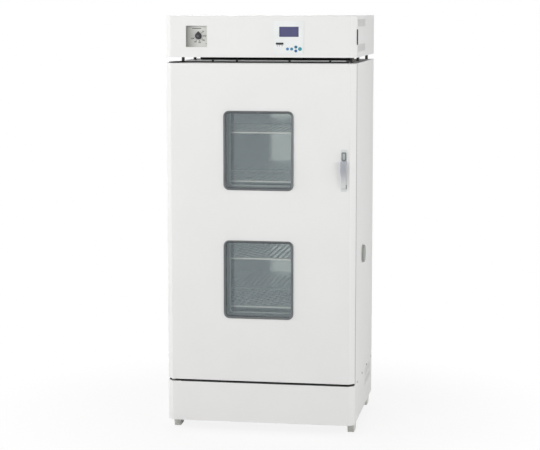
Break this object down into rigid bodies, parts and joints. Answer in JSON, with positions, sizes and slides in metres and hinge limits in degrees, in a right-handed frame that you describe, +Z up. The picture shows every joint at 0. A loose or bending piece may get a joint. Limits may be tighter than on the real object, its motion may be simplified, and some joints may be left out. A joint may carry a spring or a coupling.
{
  "type": "laboratory drying oven",
  "caption": "Tall floor-standing drying oven with an insulated door, windows, punched shelves and a control head raised on posts.",
  "frame": {"origin": "on the floor under the middle of the casing", "axes": "+X to the right of someone facing the door, +Y away from them, +Z up"},
  "size_m": [0.7621, 0.7033, 1.65],
  "materials": {
    "white_paint": "fine textured enamel",
    "grey_steel": "satin",
    "dark_steel": "matt",
    "stainless": "brushed",
    "bright_steel": "zinc plated",
    "brass": "turned",
    "glass_wool": "fibrous",
    "silicone": "matt",
    "window_rubber": "matt",
    "window_glass": "polished",
    "grey_plastic": "moulded",
    "grip_metal": "satin",
    "dark_plastic": "moulded",
    "panel_plastic": "film overlay",
    "key_blue": "moulded",
    "board_green": "laminate",
    "motor_iron": "painted"
  },
  "bodies": {
    "cabinet": {"side_panel_left": "white_paint", "side_panel_right": "white_paint", "top_panel": "white_paint", "rear_panel": "white_paint", "front_frame": "white_paint", "plinth_cover": "white_paint", "head_front_cover": "white_paint", "head_top_cover": "white_paint", "head_rear_panel": "white_paint", "base_tray": "grey_steel", "base_deck": "grey_steel", "head_base": "grey_steel", "hinge_brackets": "grey_steel", "neck_box": "dark_steel", "chamber_liner": "stainless", "floor_plate": "stainless", "duct_plate": "stainless", "shelf_standards": "stainless", "shelf_rails": "stainless", "strike": "stainless", "exhaust_stub": "stainless", "port_sleeve": "stainless", "heating_element": "stainless", "hinge_pins": "bright_steel", "head_posts": "bright_steel", "fasteners": "bright_steel", "insulation": "glass_wool", "screen_window": "window_glass", "feet": "grey_plastic", "dial_plate": "grey_plastic", "breaker_body": "dark_plastic", "inlet_gland": "dark_plastic", "panel_bezel": "panel_plastic", "control_board": "board_green", "fan_motor": "motor_iron"},
    "door": {"door_outer_pan": "white_paint", "door_inner_pan": "stainless", "door_insulation": "glass_wool", "door_gasket": "silicone", "door_bushes": "brass", "window_frames": "window_rubber", "window_panes": "window_glass", "window_tunnels": "stainless", "handle_base": "grey_plastic", "handle_grip": "grip_metal"},
    "latch": {"latch_tongue": "bright_steel"},
    "button": {"release_button": "grey_plastic"},
    "knob": {"dial_knob": "dark_plastic"},
    "lever": {"breaker_lever": "dark_plastic"},
    "fan": {"fan_wheel": "stainless"},
    "plug": {"port_plug": "silicone"},
    "key_left": {"key_left": "key_blue"},
    "key_right": {"key_right": "key_blue"},
    "key_up": {"key_up": "key_blue"},
    "key_down": {"key_down": "key_blue"},
    "key_enter": {"key_enter": "key_blue"},
    "shelf_1": {"shelf_1": "stainless"},
    "shelf_2": {"shelf_2": "stainless"},
    "shelf_3": {"shelf_3": "stainless"},
    "shelf_4": {"shelf_4": "stainless"}
  },
  "joints": [
    {"name": "door_swing", "type": "hinge", "parent": "cabinet", "child": "door", "pos_m": [-0.353, -0.308, 0.84], "axis": [0, 0, -1], "range_deg": [0, 120]},
    {"name": "latch_turn", "type": "hinge", "parent": "door", "child": "latch", "pos_m": [0.33, -0.309, 1.089], "axis": [-1, 0, 0], "range_deg": [0, 8.18], "stiffness_Nm_per_rad": 1, "springref_deg": -11.46},
    {"name": "button_press", "type": "slide", "parent": "door", "child": "button", "axis": [0, 1, 0], "range_m": [0, 0.003]},
    {"name": "dial_turn", "type": "hinge", "parent": "cabinet", "child": "knob", "pos_m": [-0.2436, -0.325, 1.572], "axis": [0, 1, 0], "range_deg": [0, 247]},
    {"name": "breaker_flip", "type": "hinge", "parent": "cabinet", "child": "lever", "pos_m": [0.358, -0.2925, 1.569], "axis": [0, 1, 0], "range_deg": [0, 24]},
    {"name": "fan_spin", "type": "hinge", "parent": "cabinet", "child": "fan", "pos_m": [0, 0.14, 0.3], "axis": [0, 0, 1], "continuous": true},
    {"name": "plug_pull", "type": "slide", "parent": "cabinet", "child": "plug", "axis": [1, 0, 0], "range_m": [0, 0.08]},
    {"name": "key_left_press", "type": "slide", "parent": "cabinet", "child": "key_left", "axis": [0, 1, 0], "range_m": [0, 0.001], "stiffness_N_per_m": 400, "springref_m": -0.001},
    {"name": "key_right_press", "type": "slide", "parent": "cabinet", "child": "key_right", "axis": [0, 1, 0], "range_m": [0, 0.001], "stiffness_N_per_m": 400, "springref_m": -0.001},
    {"name": "key_up_press", "type": "slide", "parent": "cabinet", "child": "key_up", "axis": [0, 1, 0], "range_m": [0, 0.001], "stiffness_N_per_m": 400, "springref_m": -0.001},
    {"name": "key_down_press", "type": "slide", "parent": "cabinet", "child": "key_down", "axis": [0, 1, 0], "range_m": [0, 0.001], "stiffness_N_per_m": 400, "springref_m": -0.001},
    {"name": "key_enter_press", "type": "slide", "parent": "cabinet", "child": "key_enter", "axis": [0, 1, 0], "range_m": [0, 0.001], "stiffness_N_per_m": 400, "springref_m": -0.001},
    {"name": "shelf_1_slide", "type": "slide", "parent": "cabinet", "child": "shelf_1", "axis": [0, -1, 0], "range_m": [0, 0.012]},
    {"name": "shelf_2_slide", "type": "slide", "parent": "cabinet", "child": "shelf_2", "axis": [0, -1, 0], "range_m": [0, 0.012]},
    {"name": "shelf_3_slide", "type": "slide", "parent": "cabinet", "child": "shelf_3", "axis": [0, -1, 0], "range_m": [0, 0.012]},
    {"name": "shelf_4_slide", "type": "slide", "parent": "cabinet", "child": "shelf_4", "axis": [0, -1, 0], "range_m": [0, 0.012]}
  ],
  "couplings": [
    {"joint": "button_press", "follows": "latch_turn", "m_per_rad": 0.021}
  ]
}
